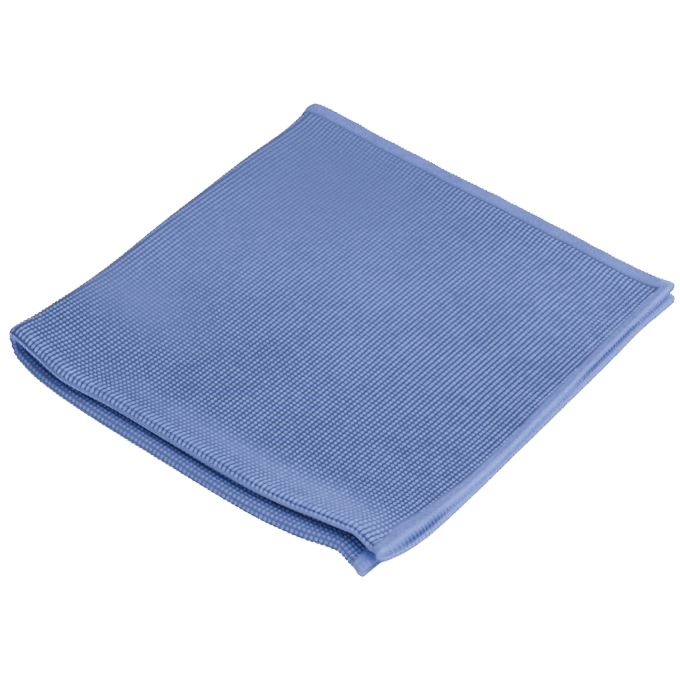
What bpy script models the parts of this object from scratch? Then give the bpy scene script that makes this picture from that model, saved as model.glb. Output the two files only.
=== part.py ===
"""A square microfibre cloth with hemmed edges, folded in half and then in half again.

The cloth is one knitted sheet. A flat grid stands for the sheet as it was cut, and each of its points is
carried to its place in the folded stack:

- the first fold runs along the front, so the sheet lies as a pair of layers with a rounded roll there;
- the second fold runs along the left, so the pair lies on itself as four layers with one wrap round them.

The front shows two rolls, an upper and a lower one. The right and the back show the open hems. The frame has
its origin under the middle of the stack, +X from the wrapped side to the hems, +Y from the rolls to the hems
and +Z up. Lengths in the tables are millimetres.
"""

import math
from collections import namedtuple

import bmesh
import bpy

MM = 0.001
QUARTER_TURN = math.pi / 2.0

# The cloth as it was cut, measured from the crossing of its two folds to its hems.
HALF_WIDTH = 201.0
HALF_LENGTH = 198.5

# Thickness of the knit with its loops, of the turned hem and of the sewn groove beside it. The field's grid
# ends a margin inside the hem, so that the groove has lines of its own.
KNIT_THICKNESS = 1.9
HEM_THICKNESS = 2.4
HEM_EDGE_THICKNESS = 1.5
GROOVE_THICKNESS = 1.5
HEM_WIDTH = 6.4
HEM_CREST = 1.7
GROOVE_WIDTH = 1.6
GROOVE_MARGIN = 2.4
CORNER_RADIUS = 3.6

# Half the distance between the middles of two layers: inside a pair in the open field, in the front roll and
# at the hems, and between the upper and the lower pair in the field, in the wrap and at the hems.
PAIR_FIELD = 1.35
PAIR_ROLL = 1.95
PAIR_HEM = 1.50
STACK_FIELD = 1.35
STACK_WRAP = 1.65
STACK_HEM = 1.55

# The roll and the wrap keep their height for a short way behind the fold and sink to the field over a length.
ROLL_CREST = 2.5
ROLL_LENGTH = 13.0
WRAP_CREST = 4.0
WRAP_LENGTH = 14.0
HEM_REACH_IN = 9.0
HEM_BLEND = 9.0

# Where the middle of the whole stack lies in the tables' own places.
STACK_MIDDLE = (1.19, -3.45)

# The two rolls along the front: share of the way from the wrap to the hems, the lines of the upper and of the
# lower roll, and how far the upper roll is lifted there.
FrontRow = namedtuple("FrontRow", "share upper lower lift")
FRONT_ROLLS = (
    FrontRow(0.00, -94.6, -94.2, 0.0),
    FrontRow(0.04, -95.9, -96.8, 0.0),
    FrontRow(0.10, -97.6, -99.6, 0.1),
    FrontRow(0.18, -99.5, -101.4, 0.2),
    FrontRow(0.30, -97.4, -102.5, 0.1),
    FrontRow(0.45, -97.2, -103.0, 0.0),
    FrontRow(0.58, -97.4, -103.4, 0.1),
    FrontRow(0.68, -97.3, -103.5, 0.2),
    FrontRow(0.76, -96.0, -102.8, 0.4),
    FrontRow(0.84, -94.1, -100.8, 0.8),
    FrontRow(0.89, -93.3, -98.4, 1.1),
    FrontRow(0.92, -92.6, -97.3, 1.0),
    FrontRow(0.96, -93.7, -99.2, 0.2),
    FrontRow(1.00, -95.8, -101.3, -0.6),
)
LIFT_LENGTH = 24.0

# The hems along the back: share of the way from the wrap to the right, and the line of each layer.
BackRow = namedtuple("BackRow", "share top second third bottom")
BACK_HEMS = (
    BackRow(0.00, 97.0, 94.8, 93.6, 92.2),
    BackRow(0.06, 97.6, 95.4, 94.6, 92.8),
    BackRow(0.20, 96.2, 94.2, 93.7, 92.4),
    BackRow(0.40, 94.4, 92.7, 92.6, 91.2),
    BackRow(0.62, 93.9, 92.1, 91.6, 90.8),
    BackRow(0.80, 92.8, 91.2, 90.9, 89.8),
    BackRow(0.93, 93.1, 91.2, 90.6, 89.8),
    BackRow(1.00, 95.4, 91.8, 91.6, 90.6),
)

# The sides: share of the way from the front to the back, the line of the wrap at the left on the upper and on
# the lower pair, and the line of each layer's hem at the right.
SideRow = namedtuple("SideRow", "share wrap_upper wrap_lower top second third bottom")
SIDES = (
    SideRow(0.00, -98.3, -98.4, 94.2, 94.2, 89.0, 89.0),
    SideRow(0.05, -96.8, -98.4, 97.8, 98.1, 90.2, 90.0),
    SideRow(0.11, -95.2, -97.6, 99.5, 100.0, 92.0, 92.0),
    SideRow(0.20, -95.4, -97.2, 99.6, 100.4, 94.2, 94.6),
    SideRow(0.35, -96.2, -97.3, 100.4, 100.4, 94.7, 95.6),
    SideRow(0.50, -96.6, -97.3, 99.8, 100.5, 95.0, 96.0),
    SideRow(0.76, -96.0, -96.6, 98.9, 100.5, 95.4, 96.2),
    SideRow(0.87, -95.0, -95.5, 99.0, 100.2, 95.4, 96.0),
    SideRow(0.94, -95.2, -95.6, 98.7, 101.1, 95.2, 95.6),
    SideRow(1.00, -96.1, -96.4, 98.9, 101.7, 94.6, 95.2),
)

# Soft troughs and ridges: middle, reach along and across the form, its turn from the front's line in degrees,
# and its rise. The stack's own forms run through all of its layers, more with their height. The lifts raise
# the upper pair as a whole off the lower one, at the front's two corners.
SoftForm = namedtuple("SoftForm", "x y along across turn rise")
STACK_FORMS = (
    SoftForm(-89.0, 10.0, 9.0, 90.0, 0.0, 1.0),
    SoftForm(5.0, 90.0, 100.0, 36.0, 0.0, 1.4),
    SoftForm(55.0, 56.0, 12.0, 24.0, 0.0, 1.2),
    SoftForm(24.0, 48.0, 18.0, 20.0, 0.0, -0.7),
    SoftForm(-57.0, 64.0, 25.0, 27.0, 0.0, -1.2),
    SoftForm(0.0, -57.0, 70.0, 18.0, 0.0, -0.5),
    SoftForm(-84.0, -80.0, 28.0, 28.0, 0.0, 2.4),
    SoftForm(-84.0, -44.0, 12.0, 10.0, 0.0, -0.5),
    SoftForm(86.0, 10.0, 7.0, 60.0, 0.0, -0.5),
    SoftForm(-90.0, 88.0, 14.0, 14.0, 0.0, -0.7),
    SoftForm(92.0, 86.0, 14.0, 14.0, 0.0, -0.6),
)
PAIR_LIFTS = (
    SoftForm(-84.0, -79.0, 28.0, 28.0, 0.0, 3.4),
    SoftForm(88.0, -84.0, 24.0, 24.0, 0.0, 2.0),
)

# Grid steps of the sheet, from a fold out to the hem: in the turn, in the roll behind it and in the field.
TURN_STEPS = 5
ROLL_STEPS = 5
WIDTH_STEPS = 15
LENGTH_STEPS = 13

CLOTH_COLOUR = (0.162, 0.235, 0.456, 1.0)
CLOTH_ROUGHNESS = 0.92


def clamp(value, low, high):
    """Keep a value between two others."""
    return max(low, min(high, value))


def smooth_step(start, end, value):
    """Rise from 0 at start to 1 at end, level at both."""
    share = clamp((value - start) / (end - start), 0.0, 1.0)
    return share * share * (3.0 - 2.0 * share)


def blend(first, second, share):
    """Mix two values."""
    return first + (second - first) * share


def row_slope(rows, index, column):
    """Slope of a table's column at one of its rows, from the rows on either side."""
    before = rows[max(index - 1, 0)]
    after = rows[min(index + 1, len(rows) - 1)]
    return (getattr(after, column) - getattr(before, column)) / (after.share - before.share)


def table_value(rows, column, share):
    """Read a table's column at a share of the way along it, on a smooth curve through the rows."""
    share = clamp(share, rows[0].share, rows[-1].share)
    index = 0
    while index < len(rows) - 2 and rows[index + 1].share < share:
        index += 1
    near, far = rows[index], rows[index + 1]
    span = far.share - near.share
    t = (share - near.share) / span
    rise_near = row_slope(rows, index, column) * span
    rise_far = row_slope(rows, index + 1, column) * span
    value_near = getattr(near, column)
    value_far = getattr(far, column)
    curve_near = (2.0 * t ** 3 - 3.0 * t ** 2 + 1.0) * value_near + (t ** 3 - 2.0 * t ** 2 + t) * rise_near
    curve_far = (3.0 * t ** 2 - 2.0 * t ** 3) * value_far + (t ** 3 - t ** 2) * rise_far
    return curve_near + curve_far


def hem_distance(u, v):
    """Distance from a point of the flat cloth to its nearest cut edge."""
    return min(HALF_WIDTH - abs(u), HALF_LENGTH - abs(v))


def round_corner(u, v):
    """Draw a point near one of the flat cloth's corners in, so that the corner is round."""
    past_u = abs(u) - (HALF_WIDTH - CORNER_RADIUS)
    past_v = abs(v) - (HALF_LENGTH - CORNER_RADIUS)
    if min(past_u, past_v) <= 0.0:
        return u, v
    share = max(past_u, past_v) / math.hypot(past_u, past_v)
    round_u = HALF_WIDTH - CORNER_RADIUS + past_u * share
    round_v = HALF_LENGTH - CORNER_RADIUS + past_v * share
    return math.copysign(round_u, u), math.copysign(round_v, v)


def thickness_at(u, v):
    """Thickness of the cloth at a point of the flat sheet."""
    inside = hem_distance(u, v)
    if inside < HEM_CREST:
        return blend(HEM_EDGE_THICKNESS, HEM_THICKNESS, smooth_step(0.0, HEM_CREST, inside))
    groove = HEM_WIDTH + GROOVE_WIDTH / 2.0
    if inside < groove:
        return blend(HEM_THICKNESS, GROOVE_THICKNESS, smooth_step(groove - GROOVE_WIDTH, groove, inside))
    return blend(GROOVE_THICKNESS, KNIT_THICKNESS, smooth_step(groove, groove + GROOVE_WIDTH, inside))


def hem_share(inside):
    """1 over the hems and a little beyond them, 0 in the open field."""
    return 1.0 - smooth_step(HEM_REACH_IN, HEM_REACH_IN + HEM_BLEND, inside)


def roll_radius(u):
    """Radius of the front roll, which the stiffer hems press flatter at its ends."""
    return blend(PAIR_ROLL, PAIR_HEM, hem_share(HALF_WIDTH - abs(u)))


def pair_spacing(u, v):
    """Half the distance between the two layers of a pair."""
    inside_roll = smooth_step(ROLL_CREST, ROLL_CREST + ROLL_LENGTH, abs(v))
    level = blend(PAIR_FIELD, PAIR_HEM, hem_share(hem_distance(u, v)))
    return blend(roll_radius(u), level, inside_roll)


def stack_spacing(u, v):
    """Half the distance between the lower pair's top layer and the upper pair's bottom layer."""
    inside_wrap = smooth_step(WRAP_CREST, WRAP_CREST + WRAP_LENGTH, abs(u))
    level = blend(STACK_FIELD, STACK_HEM, hem_share(hem_distance(u, v)))
    return blend(STACK_WRAP, level, inside_wrap)


def layer_line(rows, share, outer, upper):
    """Read a hem's line for a point, mixed between the layers that meet in the two folds."""
    over = blend(table_value(rows, "second", share), table_value(rows, "top", share), outer)
    under = blend(table_value(rows, "third", share), table_value(rows, "bottom", share), outer)
    return blend(under, over, upper)


def soft_rise(forms, x, y):
    """Height that soft forms add at a place on the stack."""
    rise = 0.0
    for form in forms:
        turn = math.radians(form.turn)
        dx = x - form.x
        dy = y - form.y
        along = (dx * math.cos(turn) + dy * math.sin(turn)) / form.along
        across = (dy * math.cos(turn) - dx * math.sin(turn)) / form.across
        rise += form.rise * math.exp(-(along * along + across * across))
    return rise


def fold_point(u, v):
    """Carry a point of the flat cloth to its place in the folded stack.

    u runs across the second fold and v across the first, both 0 where the folds cross. A positive v is the
    outer layer of a pair and a positive u is the upper pair. Each fold turns its point by up to a quarter
    turn either way about the fold's middle. How far the point reaches from the roll and from the wrap then
    says where it lies between the front's and the back's lines, and between the left's and the right's.
    """
    pair = pair_spacing(u, v)
    stack = stack_spacing(u, v)
    stack_height = 2.0 * (2.0 * PAIR_FIELD + STACK_FIELD)

    radius = roll_radius(u)
    first_angle = clamp(v / radius, -QUARTER_TURN, QUARTER_TURN)
    first_sine = math.sin(first_angle)
    roll_reach = radius * (1.0 - math.cos(first_angle)) + max(abs(v) - radius * QUARTER_TURN, 0.0)

    wrap_radius = stack + pair
    second_angle = clamp(u / wrap_radius, -QUARTER_TURN, QUARTER_TURN)
    second_sine = math.sin(second_angle)
    own_radius = stack + pair * (1.0 + first_sine)
    wrap_reach = stack + 2.0 * pair - own_radius * math.cos(second_angle)
    wrap_reach += max(abs(u) - wrap_radius * QUARTER_TURN, 0.0)

    outer = 0.5 * (1.0 + first_sine)
    upper = 0.5 * (1.0 + second_sine)
    across = wrap_reach / (HALF_WIDTH - wrap_radius * QUARTER_TURN + stack + 2.0 * pair)
    along = roll_reach / (HALF_LENGTH - radius * QUARTER_TURN + radius)

    lower_wrap = table_value(SIDES, "wrap_lower", along)
    left = blend(lower_wrap, table_value(SIDES, "wrap_upper", along), upper * upper)
    right = layer_line(SIDES, along, outer, upper)
    front = blend(table_value(FRONT_ROLLS, "lower", across), table_value(FRONT_ROLLS, "upper", across), upper)
    back = layer_line(BACK_HEMS, across, outer, upper)
    x = blend(left, right, across)
    y = blend(front, back, along)

    rest = thickness_at(u, v) / 2.0
    height = 2.0 * pair + stack + own_radius * second_sine
    height += soft_rise(STACK_FORMS, x, y) * clamp(height / stack_height, 0.0, 1.0)
    lip_lift = table_value(FRONT_ROLLS, "lift", across) * math.exp(-((roll_reach / LIFT_LENGTH) ** 2))
    height += (lip_lift + soft_rise(PAIR_LIFTS, x, y)) * upper
    return x - STACK_MIDDLE[0], y - STACK_MIDDLE[1], rest + height


def half_lines(half_size, turn_length, roll_length, steps):
    """Positions of the grid lines on one side of a fold, from the fold out to the hem."""
    lines = [turn_length * step / TURN_STEPS for step in range(1, TURN_STEPS + 1)]
    if roll_length > 0.0:
        lines += [turn_length + roll_length * step / ROLL_STEPS for step in range(1, ROLL_STEPS + 1)]
    start = lines[-1]
    hem_start = half_size - HEM_WIDTH
    field_end = hem_start - GROOVE_MARGIN
    lines += [blend(start, field_end, step / steps) for step in range(1, steps + 1)]
    lines += [hem_start - GROOVE_WIDTH / 2.0, hem_start + GROOVE_WIDTH / 2.0]
    lines += [half_size - HEM_CREST, half_size - HEM_CREST / 2.0, half_size]
    return lines


def both_ways(lines):
    """Mirror the positions about the fold and put the fold's own line between them."""
    return [-line for line in reversed(lines)] + [0.0] + lines


def remove_all_objects():
    """Clear the scene."""
    for old in list(bpy.data.objects):
        bpy.data.objects.remove(old, do_unlink=True)


def cloth_material():
    """Periwinkle blue, dry and without shine."""
    material = bpy.data.materials.new("periwinkle_knit")
    material.use_nodes = True
    shader = material.node_tree.nodes["Principled BSDF"]
    shader.inputs["Base Color"].default_value = CLOTH_COLOUR
    shader.inputs["Roughness"].default_value = CLOTH_ROUGHNESS
    shader.inputs["Metallic"].default_value = 0.0
    return material


def folded_cloth(collection):
    """Make the sheet as a grid, fold it and give it its thickness."""
    wrap_turn = (STACK_WRAP + PAIR_ROLL) * QUARTER_TURN
    u_lines = both_ways(half_lines(HALF_WIDTH, wrap_turn, 0.0, WIDTH_STEPS))
    v_lines = both_ways(half_lines(HALF_LENGTH, PAIR_ROLL * QUARTER_TURN, ROLL_LENGTH, LENGTH_STEPS))

    grid = bmesh.new()
    columns = len(u_lines) - 1
    rows = len(v_lines) - 1
    bmesh.ops.create_grid(grid, x_segments=columns, y_segments=rows, size=0.5)
    places = []
    for vert in grid.verts:
        column = round((vert.co.x + 0.5) * columns)
        row = round((vert.co.y + 0.5) * rows)
        places.append((u_lines[column], v_lines[row]))
    for vert, (u, v) in zip(grid.verts, places):
        x, y, z = fold_point(*round_corner(u, v))
        vert.co = (x * MM, y * MM, z * MM)

    mesh = bpy.data.meshes.new("microfibre_cloth")
    grid.to_mesh(mesh)
    grid.free()
    cloth = bpy.data.objects.new("microfibre_cloth", mesh)
    collection.objects.link(cloth)

    body = cloth.vertex_groups.new(name="thickness")
    for index, (u, v) in enumerate(places):
        body.add([index], thickness_at(u, v) / HEM_THICKNESS, "REPLACE")
    shell = cloth.modifiers.new("sheet thickness", "SOLIDIFY")
    shell.thickness = HEM_THICKNESS * MM
    shell.offset = 0.0
    shell.vertex_group = body.name
    shell.use_rim = True

    mesh.materials.append(cloth_material())
    mesh.shade_smooth()
    return cloth


def main():
    """Build the folded cloth."""
    remove_all_objects()
    collection = bpy.data.collections.new("Microfibre cloth")
    bpy.context.scene.collection.children.link(collection)
    folded_cloth(collection)


main()
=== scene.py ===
"""Looks of a square microfibre cloth that lies folded in quarters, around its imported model.

The visible sheet follows the same two folds as the model's solid, in finer steps: a ground of knit with plain
hems. The raised beads of the knit and the overlock loops of the hems are grown on it by Geometry Nodes.
Lengths in the tables and in the classes are millimetres unless a docstring says otherwise.
"""

from __future__ import annotations

import logging
import math
from dataclasses import dataclass
from enum import Enum
from typing import NamedTuple

import bpy
import numpy as np
from mathutils import Matrix, Vector

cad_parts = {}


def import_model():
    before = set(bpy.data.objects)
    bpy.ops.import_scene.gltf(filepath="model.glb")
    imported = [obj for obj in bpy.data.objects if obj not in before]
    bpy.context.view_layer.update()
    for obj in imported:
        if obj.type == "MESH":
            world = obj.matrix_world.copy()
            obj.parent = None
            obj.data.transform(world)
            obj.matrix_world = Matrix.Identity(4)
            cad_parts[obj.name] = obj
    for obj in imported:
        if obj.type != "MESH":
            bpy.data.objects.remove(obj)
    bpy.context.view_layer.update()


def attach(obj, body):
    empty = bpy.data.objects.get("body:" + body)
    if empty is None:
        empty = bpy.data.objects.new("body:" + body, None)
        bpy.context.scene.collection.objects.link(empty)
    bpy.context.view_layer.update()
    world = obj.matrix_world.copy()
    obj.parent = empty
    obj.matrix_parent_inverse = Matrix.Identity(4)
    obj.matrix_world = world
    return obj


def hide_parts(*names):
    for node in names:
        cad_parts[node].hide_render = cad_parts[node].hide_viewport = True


LOG = logging.getLogger("microfibre_cloth")
MM = 0.001
QUARTER_TURN = math.pi / 2.0
BODY = "root"
NODE = "microfibre_cloth"
FLAT_MAP = "flat"
TINY = 1e-9

Array = np.ndarray
SocketValue = object
Inputs = dict[str | int, SocketValue]
Values = dict[str, object]
Colour = tuple[float, float, float]
Span = tuple[float, float]

WHITE: Colour = (1.0, 1.0, 1.0)
BLACK: Colour = (0.0, 0.0, 0.0)


class FrontRow(NamedTuple):
    """The two rolls at a share of the way along the front: their lines and the upper one's lift."""

    share: float
    upper: float
    lower: float
    lift: float


class BackRow(NamedTuple):
    """The line of each layer's hem at a share of the way along the back."""

    share: float
    top: float
    second: float
    third: float
    bottom: float


class SideRow(NamedTuple):
    """The wrap on each pair at the left and each layer's hem at the right, at a share of the way back."""

    share: float
    wrap_upper: float
    wrap_lower: float
    top: float
    second: float
    third: float
    bottom: float


class SoftForm(NamedTuple):
    """A soft trough, ridge or patch of the upper layers: its middle, its reaches and its strength."""

    x: float
    y: float
    reach_x: float
    reach_y: float
    rise: float


class Wave(NamedTuple):
    """One of the waves that make up the unevenness of the hems."""

    height: float
    length: float
    start: float


FRONT_ROLLS: tuple[FrontRow, ...] = (
    FrontRow(0.00, -94.6, -94.2, 0.0),
    FrontRow(0.04, -95.9, -96.8, 0.0),
    FrontRow(0.10, -97.6, -99.6, 0.1),
    FrontRow(0.18, -99.5, -101.4, 0.2),
    FrontRow(0.30, -97.4, -102.5, 0.1),
    FrontRow(0.45, -97.2, -103.0, 0.0),
    FrontRow(0.58, -97.4, -103.4, 0.1),
    FrontRow(0.68, -97.3, -103.5, 0.2),
    FrontRow(0.76, -96.0, -102.8, 0.4),
    FrontRow(0.84, -94.1, -100.8, 0.8),
    FrontRow(0.89, -93.3, -98.4, 1.1),
    FrontRow(0.92, -92.6, -97.3, 1.0),
    FrontRow(0.96, -93.7, -99.2, 0.2),
    FrontRow(1.00, -95.8, -101.3, -0.6),
)
BACK_HEMS: tuple[BackRow, ...] = (
    BackRow(0.00, 97.0, 94.8, 93.6, 92.2),
    BackRow(0.06, 97.6, 95.4, 94.6, 92.8),
    BackRow(0.20, 96.2, 94.2, 93.7, 92.4),
    BackRow(0.40, 94.4, 92.7, 92.6, 91.2),
    BackRow(0.62, 93.9, 92.1, 91.6, 90.8),
    BackRow(0.80, 92.8, 91.2, 90.9, 89.8),
    BackRow(0.93, 93.1, 91.2, 90.6, 89.8),
    BackRow(1.00, 95.4, 91.8, 91.6, 90.6),
)
SIDES: tuple[SideRow, ...] = (
    SideRow(0.00, -98.3, -98.4, 94.2, 94.2, 89.0, 89.0),
    SideRow(0.05, -96.8, -98.4, 97.8, 98.1, 90.2, 90.0),
    SideRow(0.11, -95.2, -97.6, 99.5, 100.0, 92.0, 92.0),
    SideRow(0.20, -95.4, -97.2, 99.6, 100.4, 94.2, 94.6),
    SideRow(0.35, -96.2, -97.3, 100.4, 100.4, 94.7, 95.6),
    SideRow(0.50, -96.6, -97.3, 99.8, 100.5, 95.0, 96.0),
    SideRow(0.76, -96.0, -96.6, 98.9, 100.5, 95.4, 96.2),
    SideRow(0.87, -95.0, -95.5, 99.0, 100.2, 95.4, 96.0),
    SideRow(0.94, -95.2, -95.6, 98.7, 101.1, 95.2, 95.6),
    SideRow(1.00, -96.1, -96.4, 98.9, 101.7, 94.6, 95.2),
)
STACK_FORMS: tuple[SoftForm, ...] = (
    SoftForm(-89.0, 10.0, 9.0, 90.0, 1.0),
    SoftForm(5.0, 90.0, 100.0, 36.0, 1.4),
    SoftForm(55.0, 56.0, 12.0, 24.0, 1.2),
    SoftForm(24.0, 48.0, 18.0, 20.0, -0.7),
    SoftForm(-57.0, 64.0, 25.0, 27.0, -1.2),
    SoftForm(0.0, -57.0, 70.0, 18.0, -0.5),
    SoftForm(-84.0, -80.0, 28.0, 28.0, 2.4),
    SoftForm(-84.0, -44.0, 12.0, 10.0, -0.5),
    SoftForm(86.0, 10.0, 7.0, 60.0, -0.5),
    SoftForm(-90.0, 88.0, 14.0, 14.0, -0.7),
    SoftForm(92.0, 86.0, 14.0, 14.0, -0.6),
)
PAIR_LIFTS: tuple[SoftForm, ...] = (
    SoftForm(-84.0, -79.0, 28.0, 28.0, 3.4),
    SoftForm(88.0, -84.0, 24.0, 24.0, 2.0),
)
PRESSED_FORMS: tuple[SoftForm, ...] = (
    SoftForm(30.0, -86.0, 62.0, 6.0, 0.70),
    SoftForm(66.0, -83.0, 20.0, 7.0, 0.45),
    SoftForm(-72.0, -48.0, 32.0, 16.0, 0.50),
    SoftForm(-58.0, 62.0, 52.0, 46.0, 0.52),
    SoftForm(-72.0, -6.0, 34.0, 34.0, 0.35),
    SoftForm(64.0, 62.0, 44.0, 34.0, 0.22),
    SoftForm(0.0, 22.0, 42.0, 42.0, 0.18),
)
# patches of painted shade on the beads of the upper pair
PAINTED_SHADE_FORMS: tuple[SoftForm, ...] = (
    SoftForm(-72.0, -48.0, 36.0, 19.0, 0.60),
    SoftForm(-10.0, -86.0, 44.0, 9.0, 0.20),
    SoftForm(-60.0, 66.0, 56.0, 40.0, 0.85),
    SoftForm(-72.0, 0.0, 34.0, 36.0, 0.40),
    SoftForm(0.0, 50.0, 42.0, 36.0, 0.15),
)
HEM_GAPS: tuple[SoftForm, ...] = (
    SoftForm(100.0, 47.0, 9.0, 19.0, 1.8),
    SoftForm(98.0, -76.0, 9.0, 14.0, 1.1),
)
HEM_WAVES: tuple[Wave, ...] = (Wave(0.5, 2.9, 0.0), Wave(0.7, 6.1, 1.0), Wave(0.5, 1.7, 2.0))


class Layer(Enum):
    """A layer of the folded stack, as the name of its column in the tables."""

    TOP = "top"
    SECOND = "second"
    THIRD = "third"
    BOTTOM = "bottom"


def smooth_step(start: float, end: float, value: Array) -> Array:
    """Rise from 0 at start to 1 at end, level at both."""
    share = np.clip((value - start) / (end - start), 0.0, 1.0)
    return share * share * (3.0 - 2.0 * share)


def hump(value: Array, middle: float, reach: float) -> Array:
    """Rise softly to 1 at a middle value and fall to almost 0 at twice the reach on both sides of it."""
    return np.exp(-(((value - middle) / reach) ** 2))


def blend(first: Array | float, second: Array | float, share: Array | float) -> Array:
    """Mix two values by a share."""
    return first + (second - first) * share


def unit(vectors: Array) -> Array:
    """Scale vectors to a length of 1."""
    return vectors / np.maximum(np.linalg.norm(vectors, axis=-1, keepdims=True), TINY)


def soft_rise(forms: tuple[SoftForm, ...], x: Array, y: Array) -> Array:
    """Add up soft forms at places on the stack.

    Args:
        forms: The forms.
        x: Places across the stack.
        y: Places along it.

    Returns:
        The forms' joint rise or strength at each place.
    """
    rise = np.zeros_like(x)
    for form in forms:
        off_x = (x - form.x) / form.reach_x
        off_y = (y - form.y) / form.reach_y
        rise += form.rise * np.exp(-(off_x**2 + off_y**2))
    return rise


def table_value(rows: tuple[NamedTuple, ...], column: str, share: Array) -> Array:
    """Read a table's column at shares of the way along it, on a smooth curve through its rows.

    Args:
        rows: The table.
        column: The name of the column.
        share: The shares to read it at.

    Returns:
        The column's value at each share.
    """
    shares = np.array([row.share for row in rows])
    values = np.array([getattr(row, column) for row in rows])
    before = np.maximum(np.arange(len(rows)) - 1, 0)
    after = np.minimum(np.arange(len(rows)) + 1, len(rows) - 1)
    slopes = (values[after] - values[before]) / (shares[after] - shares[before])
    share = np.clip(share, shares[0], shares[-1])
    near = np.clip(np.searchsorted(shares, share) - 1, 0, len(rows) - 2)
    far = near + 1
    span = shares[far] - shares[near]
    t = (share - shares[near]) / span
    from_near = (2.0 * t**3 - 3.0 * t**2 + 1.0) * values[near] + (t**3 - 2.0 * t**2 + t) * slopes[near] * span
    from_far = (3.0 * t**2 - 2.0 * t**3) * values[far] + (t**3 - t**2) * slopes[far] * span
    return from_near + from_far


class Placement(NamedTuple):
    """Where points of the flat cloth lie in the stack, in metres, with unit directions."""

    middle: Array
    outward: Array
    along: Array


@dataclass(frozen=True)
class FoldedLie:
    """How the flat cloth lies when it is folded along the front and then along the left.

    A point of the flat cloth is given by u, its way across the second fold, and v, its way across the first.
    Both are 0 where the folds cross. A positive v is the outer layer of a pair, a positive u the upper pair.
    """

    half_width: float = 201.0
    half_length: float = 198.5
    knit_thickness: float = 1.9
    hem_thickness: float = 2.4
    edge_thickness: float = 1.5
    groove_thickness: float = 1.5
    hem_width: float = 6.4
    hem_crest: float = 1.7
    groove_width: float = 1.6
    pair_field: float = 1.35
    pair_roll: float = 1.95
    pair_hem: float = 1.50
    stack_field: float = 1.35
    stack_wrap: float = 1.65
    stack_hem: float = 1.55
    roll_crest: float = 2.5
    roll_length: float = 13.0
    wrap_crest: float = 4.0
    wrap_length: float = 14.0
    hem_reach: float = 9.0
    hem_blend: float = 9.0
    lift_length: float = 24.0
    middle_x: float = 1.19
    middle_y: float = -3.45
    corner_radius: float = 3.6
    squeeze_lip: float = 1.2
    squeeze_near: float = 0.74
    squeeze_far: float = 1.38
    lip_span: Span = (1.0, 13.0)
    squeeze_span: Span = (14.0, 58.0)
    spread_span: Span = (11.0, 40.0)
    fold_fade: float = 4.0
    hem_waviness: float = 0.16
    wave_ways: tuple[float, float, float] = (0.6, 0.6, 0.5)
    wave_lean: tuple[float, float] = (0.93, 1.07)
    wave_shift: float = 40.0
    probe: float = 0.02

    def upper_share(self, u: Array) -> Array:
        """1 on the upper pair and 0 on the lower one, with a soft change behind the second fold."""
        return smooth_step(0.0, self.fold_fade, u)

    def round_corner(self, u: Array, v: Array) -> tuple[Array, Array]:
        """Draw points near the flat cloth's corners in, so that the corners are round.

        Args:
            u: Ways across the second fold.
            v: Ways across the first fold.

        Returns:
            The same points' u and v on the rounded cloth.
        """
        past_u = np.abs(u) - (self.half_width - self.corner_radius)
        past_v = np.abs(v) - (self.half_length - self.corner_radius)
        near = np.minimum(past_u, past_v) > 0.0
        share = np.maximum(past_u, past_v) / np.maximum(np.hypot(past_u, past_v), TINY)
        round_u = np.copysign(self.half_width - self.corner_radius + past_u * share, u)
        round_v = np.copysign(self.half_length - self.corner_radius + past_v * share, v)
        return np.where(near, round_u, u), np.where(near, round_v, v)

    def squeeze(self, v: Array) -> Array:
        """How much narrower the side hems are than the back hem: wide behind the roll, narrow elsewhere."""
        near = blend(self.squeeze_lip, self.squeeze_near, smooth_step(*self.lip_span, np.abs(v)))
        return blend(near, self.squeeze_far, smooth_step(*self.squeeze_span, np.abs(v)))

    def hem_measure(self, u: Array, v: Array) -> Array:
        """Distance from the nearest cut edge in the hems' own profile, which is squeezed at the sides."""
        return np.minimum((self.half_width - np.abs(u)) * self.squeeze(v), self.half_length - np.abs(v))

    def hem_distance(self, u: Array, v: Array) -> Array:
        """Distance of each flat point from its nearest cut edge."""
        return np.minimum(self.half_width - np.abs(u), self.half_length - np.abs(v))

    def spread_hem(self, u: Array, v: Array) -> Array:
        """Move grid points so that their lines follow the side hems' changing width.

        Args:
            u: Ways across the second fold.
            v: Ways across the first fold.

        Returns:
            The same points' u where the width has changed.
        """
        inside = self.half_width - np.abs(u)
        scale = blend(1.0 / self.squeeze(v), 1.0, smooth_step(*self.spread_span, inside))
        return np.copysign(self.half_width - inside * scale, u)

    def solid_thickness(self, u: Array, v: Array) -> Array:
        """Thickness of the sheet with its loops at flat points.

        Args:
            u: Ways across the second fold.
            v: Ways across the first fold.

        Returns:
            The thickness of the model's solid at each point.
        """
        inside = self.hem_distance(u, v)
        groove = self.hem_width + self.groove_width / 2.0
        rim = blend(self.edge_thickness, self.hem_thickness, smooth_step(0.0, self.hem_crest, inside))
        sink = smooth_step(groove - self.groove_width, groove, inside)
        rise = smooth_step(groove, groove + self.groove_width, inside)
        hem = blend(rim, self.groove_thickness, sink)
        return np.where(inside < groove, hem, blend(self.groove_thickness, self.knit_thickness, rise))

    def hem_share(self, inside: Array) -> Array:
        """1 over the hems and a little beyond them, 0 in the open field."""
        return 1.0 - smooth_step(self.hem_reach, self.hem_reach + self.hem_blend, inside)

    def layer_line(self, rows: tuple[NamedTuple, ...], share: Array, outer: Array, upper: Array) -> Array:
        """Read a hem's line for points, mixed between the layers that meet in the two folds.

        Args:
            rows: The table of the side.
            share: Shares of the way along the side.
            outer: 1 on the outer layer of a pair, 0 on its inner layer.
            upper: 1 on the upper pair, 0 on the lower pair.

        Returns:
            The line at each point.
        """
        top, second, third, bottom = (table_value(rows, layer.value, share) for layer in Layer)
        return blend(blend(third, bottom, outer), blend(second, top, outer), upper)

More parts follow.
